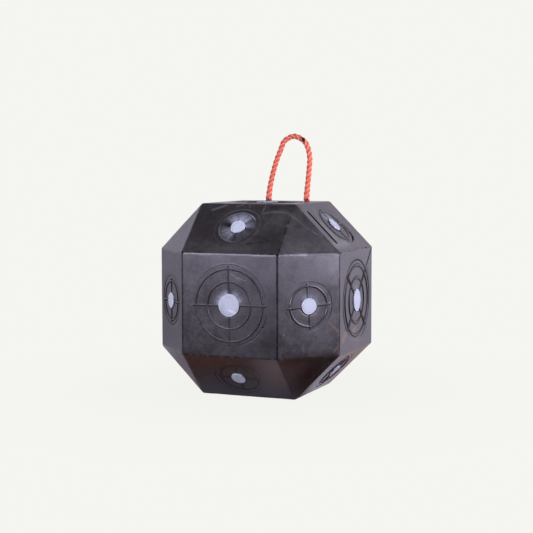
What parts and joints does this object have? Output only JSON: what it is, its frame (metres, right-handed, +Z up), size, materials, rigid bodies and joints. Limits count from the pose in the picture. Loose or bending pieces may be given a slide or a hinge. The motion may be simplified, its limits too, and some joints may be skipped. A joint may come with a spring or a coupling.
{
  "type": "cube archery target",
  "caption": "Foam cube archery target with cut-away edges and corners, raised crosshair marks round white bullseyes on every square and edge face, and a rope carrying loop.",
  "frame": {"origin": "middle of the base, on the plane of the bottom rib crests and the bottom bullseye that the block stands on", "axes": "+Z up through the top face that the rope comes out of; -Y towards the front face; +X to the right seen from the front"},
  "size_m": [0.384, 0.384, 0.52],
  "materials": {
    "black_foam": "self-skinned moulded foam, soft sheen",
    "core_foam": "open foam, matt",
    "white_coat": "sprayed coat on foam, matt",
    "orange_rope": "three-strand twisted synthetic rope, slight sheen"
  },
  "bodies": {
    "block": {"outer_skin": "black_foam", "foam_core": "core_foam", "bullseye_front": "white_coat", "bullseye_back": "white_coat", "bullseye_left": "white_coat", "bullseye_right": "white_coat", "bullseye_top": "white_coat", "bullseye_bottom": "white_coat", "bullseye_front_left": "white_coat", "bullseye_front_right": "white_coat", "bullseye_back_left": "white_coat", "bullseye_back_right": "white_coat", "bullseye_top_front": "white_coat", "bullseye_top_back": "white_coat", "bullseye_top_left": "white_coat", "bullseye_top_right": "white_coat", "bullseye_bottom_front": "white_coat", "bullseye_bottom_back": "white_coat", "bullseye_bottom_left": "white_coat", "bullseye_bottom_right": "white_coat", "rope_leg_left": "orange_rope", "rope_leg_right": "orange_rope"},
    "handle": {"rope_loop": "orange_rope"}
  },
  "joints": [
    {"name": "handle_fold", "type": "hinge", "parent": "block", "child": "handle", "pos_m": [0.0086, 0.09, 0.39305], "axis": [1, 0, 0], "range_deg": [-90, 90], "stiffness_Nm_per_rad": 0.06}
  ]
}
